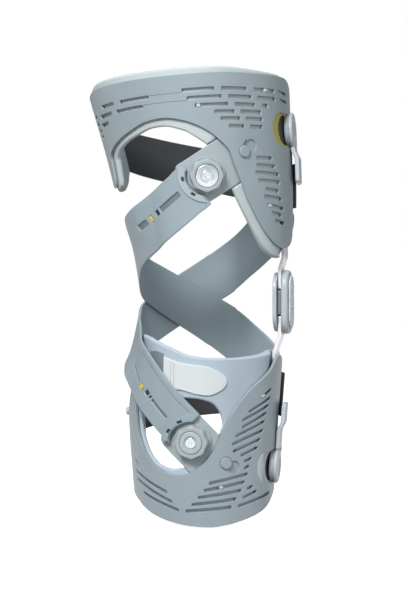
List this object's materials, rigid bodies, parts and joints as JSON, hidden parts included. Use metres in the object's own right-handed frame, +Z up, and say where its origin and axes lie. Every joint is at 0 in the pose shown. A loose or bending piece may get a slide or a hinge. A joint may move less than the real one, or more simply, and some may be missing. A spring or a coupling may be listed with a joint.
{
  "type": "hinged knee brace",
  "caption": "Osteoarthritis knee brace in its worn form: slotted thigh and calf shells over pads, a hinge on one side, diagonal dial-tightened force straps and buckled back straps.",
  "frame": {"origin": "middle of the knee, on the axis of the leg at the height of the hinge", "axes": "+Z up the leg towards the thigh, -Y to the front of the leg, +X to the hinge side"},
  "size_m": [0.1734, 0.1597, 0.362],
  "materials": {
    "shell": "satin grey moulded shell",
    "liner": "pale grey foam pad with a soft cover",
    "liner_tab": "off-white brushed loop cloth",
    "force_strap": "soft satin grey moulded strap",
    "tongue": "satin grey",
    "back_strap": "dark grey woven strap",
    "dial": "satin grey",
    "dial_cap": "bright turned metal",
    "marker": "yellow",
    "thigh_keyhole": "yellow",
    "calf_keyhole": "dark blue",
    "slot_pin": "white",
    "fastener": "satin grey",
    "hinge_metal": "satin",
    "hinge_core": "grey",
    "hinge_cover": "satin grey"
  },
  "bodies": {
    "frame": {"thigh_shell": "shell", "calf_shell": "shell", "thigh_liner": "liner", "calf_liner": "liner", "calf_liner_tab": "liner_tab", "upper_tongue": "tongue", "lower_tongue": "tongue", "upper_force_strap": "force_strap", "lower_force_strap": "force_strap", "upper_strap_marker": "marker", "lower_strap_marker": "marker", "thigh_keyhole_rim": "thigh_keyhole", "calf_keyhole_rim": "calf_keyhole", "thigh_buckle": "fastener", "calf_buckle": "fastener", "thigh_buckle_tab": "fastener", "calf_buckle_tab": "fastener", "thigh_strap": "back_strap", "calf_strap": "back_strap", "thigh_strap_rivet": "fastener", "calf_strap_rivet": "fastener", "thigh_liner_stud": "fastener", "calf_liner_stud": "fastener", "thigh_slot_pin_rim": "slot_pin", "thigh_slot_pin_front": "slot_pin", "thigh_slot_pin_side": "slot_pin", "calf_slot_pin_side": "slot_pin", "calf_slot_pin_front": "slot_pin", "hinge_upper_bar": "hinge_metal", "hinge_lower_bar": "hinge_metal", "hinge_core": "hinge_core", "hinge_inner_plate": "hinge_metal", "hinge_cover": "hinge_cover", "hinge_pin_upper": "hinge_metal", "hinge_pin_lower": "hinge_metal"},
    "upper_dial": {"upper_dial_knob": "dial", "upper_dial_cap": "dial_cap"},
    "lower_dial": {"lower_dial_knob": "dial", "lower_dial_cap": "dial_cap"}
  },
  "joints": [
    {"name": "upper_dial_turn", "type": "hinge", "parent": "frame", "child": "upper_dial", "pos_m": [0.01581, -0.06889, 0.0992], "axis": [0.264, -0.9597, -0.0965], "range_deg": [-150, 150]},
    {"name": "lower_dial_turn", "type": "hinge", "parent": "frame", "child": "lower_dial", "pos_m": [0.00137, -0.05466, -0.11085], "axis": [0.0277, -0.9973, -0.0674], "range_deg": [-150, 150]}
  ]
}
